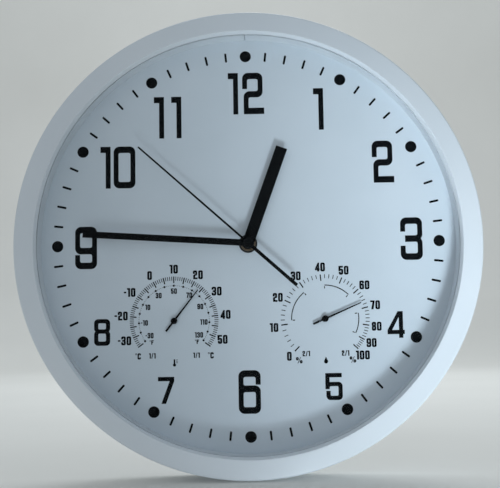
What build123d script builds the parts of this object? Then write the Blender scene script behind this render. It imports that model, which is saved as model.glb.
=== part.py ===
from build123d import *
import os
from math import acos, cos, pi, radians, sin, tan

# A round wall clock with a thermometer and a hygrometer in its dial, in millimetres.
# X is right, Z is up and the dial faces -Y. A height is a distance from the wall, along -Y.
# Everything is drawn about the hand arbor, then lowered so that the keyhole is at the origin.

# Case, from its outer wall inwards
case_depth = 42.0
case_back_radius = 150.0
wall_draft = 0.6
case_wall_thickness = 2.2
channel_width = 7.8
skirt_thickness = 2.2
lip_overlap = 2.6
lip_bevel = 1.5
lip_thickness = 3.0
face_fall = 3.4
face_thickness = 2.6
shoulder_round = 1.8
edge_play = 0.2
lens_thickness = 2.0
spacer_height = 12.0
spacer_thickness = 2.6
spacer_seam = 0.4
dial_thickness = 0.8
plate_thickness = 2.2
plate_play = 0.6
rib_height = 3.0
rib_width = 2.0
rib_ring_inset = 16.6
rib_length = 68.0
rib_angles = (0, 45, 135, 180, 270)
hang_inset = 50.0

# Case screws
boss_count = 6
boss_start_angle = 30
boss_play = 0.7
boss_height = 13.8
screw_radius = 1.3
screw_hole_radius = 1.6
screw_head_radius = 2.8
screw_head_height = 1.8
screw_reach = 11.0

# Hanger bracket
hanger_sheet = 1.2
hanger_half_bridge = 22.0
hanger_foot = 11.0
hanger_below_hole = 9.0
hanger_above_hole = 17.0
keyhole_radius = 4.5
keyhole_slot_half = 2.3
keyhole_slot_rise = 9.0
hanger_screw_radius = 1.2
hanger_screw_head_radius = 2.4
hanger_screw_head_height = 1.6
hanger_screw_reach = 2.0
hanger_screw_half_spacing = 8.0

# Movement case
movement_half = 28.0
movement_corner = 3.0
movement_depth = 16.0
movement_wall = 1.2
front_wall = 1.5
cover_thickness = 1.4
gasket_thickness = 0.8
gasket_radius = 9.0
battery_wall_low = -11.4
battery_wall_high = -10.4
middle_plate_rise = 8.8
middle_plate_thickness = 0.8
middle_plate_low_x = -16.0
middle_plate_high_x = 15.5
middle_plate_low_z = -9.6
middle_plate_high_z = 16.0
middle_plate_corner = 2.0
pillar_radius = 1.6
pillar_places = ((-11.8, -7.2), (11.8, -7.2), (12.0, 12.8), (-13.0, 13.0))
pivot_radius = 0.4
running_play = 0.06
socket_radius = 1.4
socket_height = 1.5
socket_floor = 0.3

# Centre bush, washer and nut
bush_radius = 3.6
bush_bore_radius = 2.28
bush_flange_radius = 6.0
bush_reach = 3.0
bush_hole_radius = 3.7
washer_radius = 6.0
washer_thickness = 0.5
nut_radius = 4.9
nut_height = 2.0
nut_slot_width = 1.2
nut_slot_depth = 0.9
nut_bore_play = 0.02

# Arbor pipes
arbor_radius = 0.45
minute_pipe_bore = 0.52
minute_pipe_radius = 1.3
hour_pipe_bore = 1.38
hour_pipe_radius = 2.2
hour_pipe_reach = 5.2
minute_pipe_reach = 7.4
arbor_reach = 9.6

# Gear teeth: shares of a module, and shares of the way up a flank
pressure_angle = radians(20)
addendum_share = 0.8
dedendum_share = 1.15
flank_shares = (0.0, 0.35, 0.7, 1.0)
least_teeth = 17
tooth_play = 0.05
gear_face = 1.0

# Wheel train: teeth, modules, bearings about the arbor in degrees, and rear heights
rotor_teeth = 10
fifth_wheel_teeth = 60
fifth_pinion_teeth = 12
seconds_wheel_teeth = 60
seconds_pinion_teeth = 10
third_wheel_teeth = 75
third_pinion_teeth = 10
centre_wheel_teeth = 80
cannon_teeth = 12
minute_wheel_teeth = 36
minute_pinion_teeth = 10
hour_wheel_teeth = 40
knob_teeth = 12
rotor_module = 0.2
fifth_module = 0.22
centre_module = 0.24
cannon_module = 0.3
third_bearing = 100
fifth_bearing = -20
rotor_bearing = 45
minute_bearing = 180
knob_bearing = 150
fifth_rise = 3.8
seconds_rise = 5.6
third_rise = 7.4
centre_rise = 10.0
cannon_rise = 11.8
hour_rise = 13.1
wheel_arbor_radius = 0.8
wheel_pin_radius = 0.7
wheel_pin_rise = 11.4
front_post_radius = 1.5
front_post_rise = 11.6

# Rotor, stator and coil
magnet_radius = 2.6
magnet_rise = 5.8
magnet_length = 2.4
magnet_bore_radius = 0.8
stator_rise = 6.6
stator_thickness = 0.8
stator_hole_radius = 3.0
stator_ring_radius = 5.2
stator_arm_half = 1.8
coil_x = 22.0
coil_low_z = -4.0
coil_high_z = 18.0
coil_flange_radius = 4.0
coil_flange_thickness = 1.0
coil_tube_radius = 2.4
coil_winding_radius = 3.5
core_half_width = 1.4
core_thickness = 1.6
core_overhang = 3.4

# Circuit board and its pieces
board_low_x = -26.2
board_high_x = -16.6
board_low_z = -8.0
board_high_z = 24.0
board_rise = 3.4
board_thickness = 1.0
board_post_radius = 1.4
board_post_x = -21.4
board_post_inset = 3.0
crystal_radius = 1.0
crystal_length = 6.0
crystal_z = 16.0
chip_radius = 3.2
chip_height = 1.0
chip_z = 6.0

# Battery and contacts
battery_radius = 7.25
battery_half_length = 25.25
battery_nub_radius = 2.75
battery_nub_length = 1.2
battery_z = -19.2
battery_rise = 7.2
contact_sheet = 0.4
contact_half_height = 5.0
contact_strip_half = 1.2
contact_strip_rise = 2.8
negative_spring_half = 3.0

# Setting knob
knob_shaft_radius = 1.6
knob_radius = 4.6
knob_gap = 0.6
knob_height = 3.2
knob_groove_radius = 0.45
knob_groove_count = 20

# Hands, drawn pointing at twelve and turned clockwise to the pose in the picture
hour_angle = 20.15
minute_angle = 273.9
second_angle = 312.0
hour_hand_length = 66.2
hour_hand_width = 7.5
hour_hand_lift = 3.9
hour_boss_radius = 3.9
hour_boss_lift = 3.4
minute_hand_length = 106.5
minute_hand_width = 4.2
minute_hand_lift = 6.2
minute_boss_radius = 3.4
minute_boss_lift = 5.6
hand_thickness = 0.6
second_hand_length = 94.2
second_hand_root_width = 1.36
second_hand_tip_width = 1.07
second_tail_length = 41.5
second_tail_width = 2.2
second_hand_lift = 8.4
second_hand_thickness = 0.4
second_hub_radius = 1.1
second_hub_lift = 7.7
cap_radius = 3.6
cap_reach = 10.4
cap_round = 0.7

# Thermometer and hygrometer
thermometer_reach = 48.4
hygrometer_reach = 48.9
gauge_drop = 49.2
thermometer_angle = 38.2
hygrometer_angle = 66.7
pointer_length = 25.3
pointer_tail = 8.5
pointer_width = 1.27
pointer_lift = 1.1
pointer_thickness = 0.4
pointer_hub_radius = 2.1
pointer_hub_lift = 0.4
pointer_hub_reach = 2.0
gauge_arbor_radius = 0.8
gauge_dial_hole = 1.3
cup_radius = 17.0
cup_wall = 1.2
cup_flange = 2.6
cup_flange_thickness = 1.5
cup_depth = 11.0
cup_bearing_radius = 2.4
cup_bearing_height = 1.9
vent_count = 8
vent_radius = 2.6
vent_circle_radius = 10.0
collet_radius = 2.0
coil_lift = 2.2
coil_strip_width = 5.0
coil_outer_radius = 12.4
coil_turns = 5
coil_strip = 0.35
coil_points_per_turn = 24
coil_post_radius = 1.2

# Radii that follow from the case's outer wall
shoulder_radius = case_back_radius - wall_draft
channel_outer_radius = shoulder_radius - case_wall_thickness
plate_radius = channel_outer_radius - plate_play
skirt_outer_radius = channel_outer_radius - channel_width
skirt_inner_radius = skirt_outer_radius - skirt_thickness
lip_back_radius = skirt_inner_radius - lip_overlap
lip_front_radius = lip_back_radius + lip_bevel
part_radius = skirt_inner_radius - edge_play
spacer_inner_radius = part_radius - spacer_thickness
boss_circle_radius = skirt_outer_radius + channel_width / 2
boss_radius = channel_width / 2 - boss_play
rib_outer_radius = plate_radius - rib_ring_inset
rib_inner_radius = rib_outer_radius - rib_width - rib_length
hang_drop = case_back_radius - hang_inset

# Heights that follow from the sizes above
shoulder_height = case_depth - face_fall
wall_top = shoulder_height - face_thickness
lens_front = case_depth - lip_thickness
lens_rear = lens_front - lens_thickness
dial_front = lens_rear - spacer_height
dial_rear = dial_front - dial_thickness
plate_rear = dial_rear - plate_thickness
movement_front = plate_rear - gasket_thickness
movement_rear = movement_front - movement_depth
front_wall_rear = movement_front - front_wall
cover_front = movement_rear + cover_thickness
fifth_rear = movement_rear + fifth_rise
seconds_rear = movement_rear + seconds_rise
third_rear = movement_rear + third_rise
centre_rear = movement_rear + centre_rise
cannon_rear = movement_rear + cannon_rise
hour_rear = movement_rear + hour_rise
wheel_pin_end = movement_rear + wheel_pin_rise
front_post_end = movement_rear + front_post_rise
magnet_rear = movement_rear + magnet_rise
magnet_front = magnet_rear + magnet_length
stator_rear = movement_rear + stator_rise
board_rear = movement_rear + board_rise
battery_height = movement_rear + battery_rise
contact_strip_height = movement_rear + contact_strip_rise
middle_plate_rear = movement_rear + middle_plate_rise
middle_plate_front = middle_plate_rear + middle_plate_thickness
bush_top = dial_front + bush_reach
hour_pipe_top = dial_front + hour_pipe_reach
minute_pipe_top = dial_front + minute_pipe_reach
arbor_top = dial_front + arbor_reach
hour_hand_rear = dial_front + hour_hand_lift
hour_boss_rear = dial_front + hour_boss_lift
minute_hand_rear = dial_front + minute_hand_lift
minute_boss_rear = dial_front + minute_boss_lift
second_hand_rear = dial_front + second_hand_lift
second_hub_rear = dial_front + second_hub_lift
cap_top = dial_front + cap_reach
pointer_rear = dial_front + pointer_lift
pointer_hub_rear = dial_front + pointer_hub_lift
pointer_hub_top = dial_front + pointer_hub_reach
knob_front = movement_rear - knob_gap
knob_rear = knob_front - knob_height
cup_rear = plate_rear - cup_depth
cup_bearing_front = cup_rear + cup_bearing_height
coil_rear = cup_rear + coil_lift
coil_front = coil_rear + coil_strip_width

# Places and modules that follow from the teeth
third_distance = centre_module * (third_pinion_teeth + centre_wheel_teeth) / 2
third_module = 2 * third_distance / (seconds_pinion_teeth + third_wheel_teeth)
fifth_distance = fifth_module * (fifth_pinion_teeth + seconds_wheel_teeth) / 2
rotor_distance = rotor_module * (rotor_teeth + fifth_wheel_teeth) / 2
minute_distance = cannon_module * (cannon_teeth + minute_wheel_teeth) / 2
hour_module = 2 * minute_distance / (minute_pinion_teeth + hour_wheel_teeth)
knob_distance = cannon_module * (knob_teeth + minute_wheel_teeth) / 2


def place(distance, bearing, start=(0, 0)):
    turn = radians(bearing)
    return start[0] + distance * cos(turn), start[1] + distance * sin(turn)


third_place = place(third_distance, third_bearing)
fifth_place = place(fifth_distance, fifth_bearing)
rotor_place = place(rotor_distance, rotor_bearing, fifth_place)
minute_place = place(minute_distance, minute_bearing)
knob_place = place(knob_distance, knob_bearing, minute_place)


def slab(outline, rear, front):
    """Thickens an outline, drawn as seen from the front, between two heights."""
    return extrude(Plane.XZ.offset(rear) * outline, front - rear)


def disc(radius, rear, front, at=(0, 0)):
    return slab(Pos(*at) * Circle(radius), rear, front)


def tube(outer, inner, rear, front, at=(0, 0)):
    return slab(Pos(*at) * (Circle(outer) - Circle(inner)), rear, front)


def block(low_x, high_x, low_z, high_z, rear, front):
    middle = Pos((low_x + high_x) / 2, (low_z + high_z) / 2)
    return slab(middle * Rectangle(high_x - low_x, high_z - low_z), rear, front)


def turned(points):
    """Turns an outline of radius and height pairs about the arbor."""
    outline = make_face(Polyline(*[(radius, -height) for radius, height in points], close=True))
    return revolve(outline, Axis.Y)


def around(count, radius, start=0):
    return [place(radius, start + 360 * step / count) for step in range(count)]


def save(node, *pieces):
    """Lowers the pieces so that the keyhole is at the origin, and writes them as one node."""
    solids = [solid for piece in pieces for solid in piece.solids()]
    shape = solids[0] if len(solids) == 1 else Compound(children=solids)
    export_step(Pos(0, 0, -hang_drop) * shape, "parts/" + node + ".step")


def long_pinion(teeth):
    """Profile shift that keeps a small pinion from being undercut; its wheel takes the opposite."""
    return (least_teeth - teeth) / least_teeth


def involute(angle):
    return tan(angle) - angle


def gear(module, teeth, shift, rear, at, first_tooth):
    """A spur gear with involute flanks, its first tooth at an angle in degrees."""
    pitch_radius = module * teeth / 2
    base_radius = pitch_radius * cos(pressure_angle)
    tip_radius = pitch_radius + module * (addendum_share + shift)
    root_radius = pitch_radius - module * (dedendum_share - shift)
    start_radius = max(root_radius, base_radius)
    half_tooth = pi / 2 / teeth + 2 * shift * tan(pressure_angle) / teeth + involute(pressure_angle)
    half_tooth = half_tooth - tooth_play / 2 / pitch_radius
    flank = []
    for share in flank_shares:
        radius = start_radius + (tip_radius - start_radius) * share
        flank.append((radius, half_tooth - involute(acos(base_radius / radius))))
    if root_radius < start_radius:
        flank.insert(0, (root_radius, flank[0][1]))
    points = []
    for tooth in range(teeth):
        middle = radians(first_tooth) + 2 * pi * tooth / teeth
        points += [(radius, middle - half) for radius, half in flank]
        points += [(radius, middle + half) for radius, half in reversed(flank)]
    corners = [(radius * cos(turn), radius * sin(turn)) for radius, turn in points]
    return slab(Pos(*at) * make_face(Polyline(*corners, close=True)), rear, rear + gear_face)


def gap_facing(bearing, teeth):
    """First tooth angle of a wheel that has a gap along a bearing."""
    return bearing + 180 / teeth


def hand_outline(length, root_width, tip_width):
    corners = [(-root_width / 2, 0), (root_width / 2, 0), (tip_width / 2, length), (-tip_width / 2, length)]
    return make_face(Polyline(*corners, close=True))


def clockwise(angle, outline):
    return Rot(0, 0, -angle) * outline


os.makedirs("parts", exist_ok=True)

# Case wall: the outer band, from the wall up to the bezel's face
wall_top_radius = case_back_radius - wall_draft * wall_top / shoulder_height
case_wall = turned(
    [
        (case_back_radius, 0),
        (wall_top_radius, wall_top),
        (channel_outer_radius, wall_top),
        (case_back_radius - case_wall_thickness, 0),
    ]
)
save("case_wall", case_wall)

# Bezel: sloped face, lens lip and inner skirt, with screw bosses in the channel behind the face
bezel = turned(
    [
        (wall_top_radius, wall_top),
        (shoulder_radius, shoulder_height),
        (lip_front_radius, case_depth),
        (lip_back_radius, lens_front),
        (skirt_inner_radius, lens_front),
        (skirt_inner_radius, dial_rear),
        (skirt_outer_radius, dial_rear),
        (skirt_outer_radius, lens_front - shoulder_round / 2),
        (channel_outer_radius, wall_top),
    ]
)
outer_edges = [edge for edge in bezel.edges() if edge.length > 2 * pi * channel_outer_radius]
shoulder = [
    edge for edge in outer_edges
    if abs(edge.center(CenterOf.BOUNDING_BOX).Y + shoulder_height) < edge_play
]
bezel = fillet(shoulder, shoulder_round)
screw_places = around(boss_count, boss_circle_radius, boss_start_angle)
for spot in screw_places:
    bezel += disc(boss_radius, dial_rear, dial_rear + boss_height, spot)
for spot in screw_places:
    bezel -= disc(screw_radius, dial_rear, plate_rear + screw_reach, spot)
save("bezel", bezel)

# Lens, split spacer strip and dial sheet, stacked inside the skirt
save("lens", disc(part_radius, lens_rear, lens_front))
spacer = tube(part_radius, spacer_inner_radius, dial_front, lens_rear)
spacer -= block(-spacer_seam / 2, spacer_seam / 2, 0, case_back_radius, dial_front, lens_rear)
save("spacer_strip", spacer)
gauge_places = ((-thermometer_reach, -gauge_drop), (hygrometer_reach, -gauge_drop))
dial = disc(part_radius, dial_rear, dial_front) - disc(bush_hole_radius, dial_rear, dial_front)
for spot in gauge_places:
    dial -= disc(gauge_dial_hole, dial_rear, dial_front, spot)
save("dial", dial)

# Back plate: ribbed behind, with holes for the bush, the gauge arbors and the screws
back_plate = disc(plate_radius, plate_rear, dial_rear)
back_plate += tube(rib_outer_radius, rib_outer_radius - rib_width, plate_rear - rib_height, plate_rear)
for angle in rib_angles:
    rib = Rot(0, 0, angle) * Pos((rib_inner_radius + rib_outer_radius) / 2, 0)
    rib = rib * Rectangle(rib_outer_radius - rib_inner_radius - rib_width, rib_width)
    back_plate += slab(rib, plate_rear - rib_height, plate_rear)
back_plate -= disc(bush_hole_radius, plate_rear, dial_rear)
for spot in gauge_places:
    back_plate -= disc(gauge_arbor_radius + running_play, plate_rear, dial_rear, spot)
for spot in screw_places:
    back_plate -= disc(screw_hole_radius, plate_rear, dial_rear, spot)
foot_middle = hanger_half_bridge + hanger_foot / 2
hanger_middle = hang_drop + (hanger_above_hole - hanger_below_hole) / 2
foot_places = []
for side in (-1, 1):
    for end in (-1, 1):
        foot_places.append((side * foot_middle, hanger_middle + end * hanger_screw_half_spacing))
for spot in foot_places:
    back_plate -= disc(hanger_screw_radius, plate_rear, plate_rear + hanger_screw_reach, spot)
save("back_plate", back_plate)

# Case screws, driven from behind into the bezel's bosses
case_screws = []
for spot in screw_places:
    head = disc(screw_head_radius, plate_rear - screw_head_height, plate_rear, spot)
    case_screws.append(head + disc(screw_radius, plate_rear, plate_rear + screw_reach, spot))
save("case_screws", *case_screws)

# Hanger bracket: a folded steel strip whose bridge is level with the wall
hanger_low = hang_drop - hanger_below_hole
hanger_high = hang_drop + hanger_above_hole
hanger = block(-hanger_half_bridge, hanger_half_bridge, hanger_low, hanger_high, 0, hanger_sheet)
for side in (-1, 1):
    leg = sorted((side * hanger_half_bridge, side * (hanger_half_bridge - hanger_sheet)))
    foot = sorted((side * (hanger_half_bridge - hanger_sheet), side * (hanger_half_bridge + hanger_foot)))
    hanger += block(*leg, hanger_low, hanger_high, 0, plate_rear)
    hanger += block(*foot, hanger_low, hanger_high, plate_rear - hanger_sheet, plate_rear)
hanger -= disc(keyhole_radius, 0, hanger_sheet, (0, hang_drop))
slot_top = hang_drop + keyhole_slot_rise
hanger -= block(-keyhole_slot_half, keyhole_slot_half, hang_drop, slot_top, 0, hanger_sheet)
hanger -= disc(keyhole_slot_half, 0, hanger_sheet, (0, slot_top))
for spot in foot_places:
    hanger -= disc(hanger_screw_radius, plate_rear - hanger_sheet, plate_rear, spot)
save("hanger_bracket", hanger)
hanger_screws = []
for spot in foot_places:
    under_head = plate_rear - hanger_sheet
    head = disc(hanger_screw_head_radius, under_head - hanger_screw_head_height, under_head, spot)
    hanger_screws.append(head + disc(hanger_screw_radius, under_head, plate_rear + hanger_screw_reach, spot))
save("hanger_screws", *hanger_screws)

# Movement housing: front wall, side walls, battery wall, pillars, posts and the minute wheel's pin
movement_outline = RectangleRounded(2 * movement_half, 2 * movement_half, movement_corner)
inner_half = movement_half - movement_wall
inner_outline = RectangleRounded(2 * inner_half, 2 * inner_half, movement_corner - movement_wall)
housing = slab(movement_outline, cover_front, movement_front)
housing -= slab(inner_outline, cover_front, front_wall_rear)
housing += block(-inner_half, inner_half, battery_wall_low, battery_wall_high, cover_front, front_wall_rear)
for spot in pillar_places:
    housing += disc(pillar_radius, middle_plate_front, front_wall_rear, spot)
board_post_heights = (board_low_z + board_post_inset, board_high_z - board_post_inset)
board_posts = [(board_post_x, post_z) for post_z in board_post_heights]
for spot in board_posts:
    housing += disc(board_post_radius, board_rear + board_thickness, front_wall_rear, spot)
housing += disc(front_post_radius, front_post_end, front_wall_rear, third_place)
housing -= disc(pivot_radius + running_play, front_post_end, front_wall_rear, third_place)
housing += disc(wheel_pin_radius, wheel_pin_end, front_wall_rear, minute_place)
housing -= disc(bush_flange_radius, front_wall_rear, movement_front - front_wall / 2)
housing -= disc(bush_radius, front_wall_rear, movement_front)
strip_rear = contact_strip_height - contact_strip_half
strip_front = contact_strip_height + contact_strip_half
for side in (-1, 1):
    notch = sorted((side * inner_half, side * (inner_half - contact_sheet)))
    housing -= block(*notch, battery_wall_low, battery_wall_high, strip_rear, strip_front)
save("movement_housing", housing)

# Rear cover: closes the gear side and carries the rear pivots; the battery bay stays open
cover_outline = movement_outline & Pos(0, (movement_half + battery_wall_low) / 2) * Rectangle(
    2 * movement_half, movement_half - battery_wall_low
)
cover = slab(cover_outline, movement_rear, cover_front)
pivot_places = (rotor_place, fifth_place, third_place, (0, 0))
for spot in pivot_places:
    cover += disc(socket_radius, cover_front, cover_front + socket_height, spot)
for spot in pivot_places:
    cover -= disc(pivot_radius + running_play, cover_front + socket_floor, cover_front + socket_height, spot)
cover -= disc(knob_shaft_radius + running_play, movement_rear, cover_front, knob_place)
save("movement_rear_cover", cover)

# Middle plate: carries the front pivots of the rotor and fifth wheel, on the housing's pillars
middle_plate_outline = Pos(
    (middle_plate_low_x + middle_plate_high_x) / 2, (middle_plate_low_z + middle_plate_high_z) / 2
) * RectangleRounded(
    middle_plate_high_x - middle_plate_low_x, middle_plate_high_z - middle_plate_low_z, middle_plate_corner
)
middle_plate = slab(middle_plate_outline, middle_plate_rear, middle_plate_front)
for spot in (rotor_place, fifth_place):
    middle_plate -= disc(pivot_radius + running_play, middle_plate_rear, middle_plate_front, spot)
middle_plate -= disc(arbor_radius + running_play, middle_plate_rear, middle_plate_front)
middle_plate -= disc(front_post_radius, middle_plate_rear, middle_plate_front, third_place)
middle_plate -= disc(knob_shaft_radius + running_play, middle_plate_rear, middle_plate_front, knob_place)
save("middle_plate", middle_plate)

# Centre bush moulded into the housing, with its gasket, washer and slotted round nut
bush = disc(bush_radius, front_wall_rear, bush_top)
bush += disc(bush_flange_radius, front_wall_rear, movement_front - front_wall / 2)
bush -= disc(bush_bore_radius, front_wall_rear, bush_top)
save("centre_bush", bush)
save("bush_gasket", tube(gasket_radius, bush_radius, movement_front, plate_rear))
washer_front = dial_front + washer_thickness
save("bush_washer", tube(washer_radius, bush_radius + nut_bore_play, dial_front, washer_front))
nut_front = washer_front + nut_height
nut_slot_floor = nut_front - nut_slot_depth
nut = tube(nut_radius, bush_radius + nut_bore_play, washer_front, nut_front)
nut -= block(-nut_radius, nut_radius, -nut_slot_width / 2, nut_slot_width / 2, nut_slot_floor, nut_front)
save("bush_nut", nut)

# Rotor: a magnet pressed on the first pinion's arbor
rotor_shift = long_pinion(rotor_teeth)
rotor_tooth = rotor_bearing + 180
rotor = gear(rotor_module, rotor_teeth, rotor_shift, fifth_rear, rotor_place, rotor_tooth)
socket_top = cover_front + socket_height
rotor += disc(wheel_arbor_radius, socket_top + running_play, middle_plate_rear - running_play, rotor_place)
rotor += disc(pivot_radius, cover_front + 2 * socket_floor, middle_plate_front, rotor_place)
save("rotor_pinion", rotor)
save("rotor_magnet", tube(magnet_radius, magnet_bore_radius, magnet_rear, magnet_front, rotor_place))

# Fifth wheel and its pinion
fifth_tooth = gap_facing(rotor_bearing, fifth_wheel_teeth)
fifth_wheel = gear(rotor_module, fifth_wheel_teeth, -rotor_shift, fifth_rear, fifth_place, fifth_tooth)
fifth_shift = long_pinion(fifth_pinion_teeth)
fifth_wheel += gear(
    fifth_module, fifth_pinion_teeth, fifth_shift, seconds_rear, fifth_place, fifth_bearing + 180
)
fifth_wheel += disc(
    wheel_arbor_radius, socket_top + running_play, middle_plate_rear - running_play, fifth_place
)
fifth_wheel += disc(pivot_radius, cover_front + 2 * socket_floor, middle_plate_front, fifth_place)
save("fifth_wheel", fifth_wheel)

# Seconds wheel, its pinion and the thin arbor that carries the second hand
seconds_tooth = gap_facing(fifth_bearing, seconds_wheel_teeth)
seconds_wheel = gear(fifth_module, seconds_wheel_teeth, -fifth_shift, seconds_rear, (0, 0), seconds_tooth)
third_shift = long_pinion(seconds_pinion_teeth)
seconds_wheel += gear(third_module, seconds_pinion_teeth, third_shift, third_rear, (0, 0), third_bearing)
seconds_wheel += disc(wheel_arbor_radius, socket_top + running_play, middle_plate_rear - running_play)
seconds_wheel += disc(pivot_radius, cover_front + 2 * socket_floor, socket_top + running_play)
seconds_wheel += disc(arbor_radius, middle_plate_rear - running_play, arbor_top)
save("seconds_wheel", seconds_wheel)

# Third wheel behind the middle plate, with its pinion in front of it
third_tooth = gap_facing(third_bearing + 180, third_wheel_teeth)
third_wheel = gear(third_module, third_wheel_teeth, -third_shift, third_rear, third_place, third_tooth)
centre_shift = long_pinion(third_pinion_teeth)
third_wheel += gear(
    centre_module, third_pinion_teeth, centre_shift, centre_rear, third_place, third_bearing + 180
)
third_wheel += disc(wheel_arbor_radius, socket_top + running_play, front_post_end - running_play, third_place)
third_wheel += disc(
    pivot_radius, cover_front + 2 * socket_floor, front_wall_rear - running_play, third_place
)
save("third_wheel", third_wheel)

# Centre wheel with the minute pipe and its cannon pinion
centre_tooth = gap_facing(third_bearing, centre_wheel_teeth)
centre_wheel = gear(centre_module, centre_wheel_teeth, -centre_shift, centre_rear, (0, 0), centre_tooth)
cannon_shift = long_pinion(cannon_teeth)
centre_wheel += gear(cannon_module, cannon_teeth, cannon_shift, cannon_rear, (0, 0), minute_bearing)
centre_wheel += disc(minute_pipe_radius, centre_rear, minute_pipe_top)
centre_wheel -= disc(minute_pipe_bore, centre_rear, minute_pipe_top)
save("centre_wheel", centre_wheel)

# Minute wheel and pinion, which run on the housing's pin
minute_tooth = gap_facing(minute_bearing + 180, minute_wheel_teeth)
minute_wheel = gear(cannon_module, minute_wheel_teeth, -cannon_shift, cannon_rear, minute_place, minute_tooth)
hour_shift = long_pinion(minute_pinion_teeth)
minute_wheel += gear(
    hour_module, minute_pinion_teeth, hour_shift, hour_rear, minute_place, minute_bearing + 180
)
minute_wheel += disc(wheel_arbor_radius + wheel_pin_radius / 2, cannon_rear, hour_rear, minute_place)
minute_wheel -= disc(wheel_pin_radius + running_play, cannon_rear, hour_rear + gear_face, minute_place)
save("minute_wheel", minute_wheel)

# Hour wheel and its pipe
hour_tooth = gap_facing(minute_bearing, hour_wheel_teeth)
hour_wheel = gear(hour_module, hour_wheel_teeth, -hour_shift, hour_rear, (0, 0), hour_tooth)
hour_wheel += disc(hour_pipe_radius, hour_rear, hour_pipe_top)
hour_wheel -= disc(hour_pipe_bore, hour_rear, hour_pipe_top)
save("hour_wheel", hour_wheel)

# Setting knob: a grooved head behind the cover, and a gear that turns the minute wheel
set_knob = disc(knob_radius, knob_rear, knob_front, knob_place)
for step in range(knob_groove_count):
    groove = place(knob_radius, 360 * step / knob_groove_count, knob_place)
    set_knob -= disc(knob_groove_radius, knob_rear, knob_front, groove)
set_knob += disc(knob_shaft_radius, knob_front, cannon_rear, knob_place)
set_knob += gear(cannon_module, knob_teeth, cannon_shift, cannon_rear, knob_place, knob_bearing + 180)
save("set_knob", set_knob)

# Stator plate around the rotor, and the coil on its core
core_low = coil_low_z - core_overhang
core_high = coil_high_z + core_overhang
stator_front = stator_rear + stator_thickness
stator = disc(stator_ring_radius, stator_rear, stator_front, rotor_place)
arm_left = rotor_place[0] - stator_arm_half
arm_right = rotor_place[0] + stator_arm_half
for end in (core_low + core_half_width, core_high - core_half_width):
    stator += block(arm_left, arm_right, *sorted((end, rotor_place[1])), stator_rear, stator_front)
    stator += block(arm_left, coil_x, end - stator_arm_half, end + stator_arm_half, stator_rear, stator_front)
    stator += disc(stator_arm_half, stator_rear, stator_front, (coil_x, end))
stator -= disc(stator_hole_radius, stator_rear, stator_front, rotor_place)
save("stator", stator)
core_rear = stator_rear - core_thickness
core_middle = stator_rear - core_thickness / 2
core = block(coil_x - core_half_width, coil_x + core_half_width, core_low, core_high, core_rear, stator_rear)
save("coil_core", core)


def along_z(radius, low, high):
    """A cylinder on the coil's axis."""
    return Pos(coil_x, -core_middle, (low + high) / 2) * Cylinder(radius, high - low)


bobbin = along_z(coil_tube_radius, coil_low_z, coil_high_z)
bobbin += along_z(coil_flange_radius, coil_low_z, coil_low_z + coil_flange_thickness)
bobbin += along_z(coil_flange_radius, coil_high_z - coil_flange_thickness, coil_high_z)
save("coil_bobbin", bobbin - core)
winding_low = coil_low_z + coil_flange_thickness
winding_high = coil_high_z - coil_flange_thickness
winding = along_z(coil_winding_radius, winding_low, winding_high)
save("coil_winding", winding - along_z(coil_tube_radius, winding_low, winding_high))

# Circuit board on its two posts, with the crystal can and the chip's round cover
board_front = board_rear + board_thickness
save("circuit_board", block(board_low_x, board_high_x, board_low_z, board_high_z, board_rear, board_front))
board_middle = (board_low_x + board_high_x) / 2
crystal = Pos(board_middle, crystal_radius - board_rear, crystal_z) * Rot(0, 90, 0)
save("quartz_crystal", crystal * Cylinder(crystal_radius, crystal_length))
save("control_chip", disc(chip_radius, board_rear - chip_height, board_rear, (board_middle, chip_z)))

# Battery cell across the bay, and the two folded contact strips that lead to the board
nub_end = battery_half_length
can_end = battery_half_length - battery_nub_length


def along_x(radius, low, high):
    """A cylinder on the battery's axis."""
    return Pos((low + high) / 2, -battery_height, battery_z) * Rot(0, 90, 0) * Cylinder(radius, high - low)


battery = along_x(battery_radius, -battery_half_length, can_end)
save("battery", battery + along_x(battery_nub_radius, can_end, nub_end))
contact_low = battery_z - contact_half_height
contact_rear = battery_height - contact_half_height
contact_front = battery_height + contact_half_height
outer_x = inner_half - contact_sheet
strip_z = battery_wall_high + contact_sheet
positive = block(outer_x, inner_half, contact_low, battery_wall_low, contact_rear, contact_front)
positive += block(outer_x, inner_half, battery_wall_low, strip_z, strip_rear, strip_front)
positive += block(board_high_x, inner_half, battery_wall_high, strip_z, strip_rear, strip_front)
positive += block(nub_end, outer_x, battery_z - battery_nub_radius, battery_z + battery_nub_radius,
                  battery_height - battery_nub_radius, battery_height + battery_nub_radius)
save("contact_plus", positive)
negative = block(-inner_half, -outer_x, contact_low, battery_wall_low, contact_rear, contact_front)
strip_high = board_low_z + board_thickness
negative += block(-inner_half, -outer_x, battery_wall_low, strip_high, strip_rear, strip_front)
negative += block(
    -outer_x,
    -battery_half_length,
    battery_z - negative_spring_half,
    battery_z + negative_spring_half,
    battery_height - negative_spring_half,
    battery_height + negative_spring_half,
)
save("contact_minus", negative)

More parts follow.
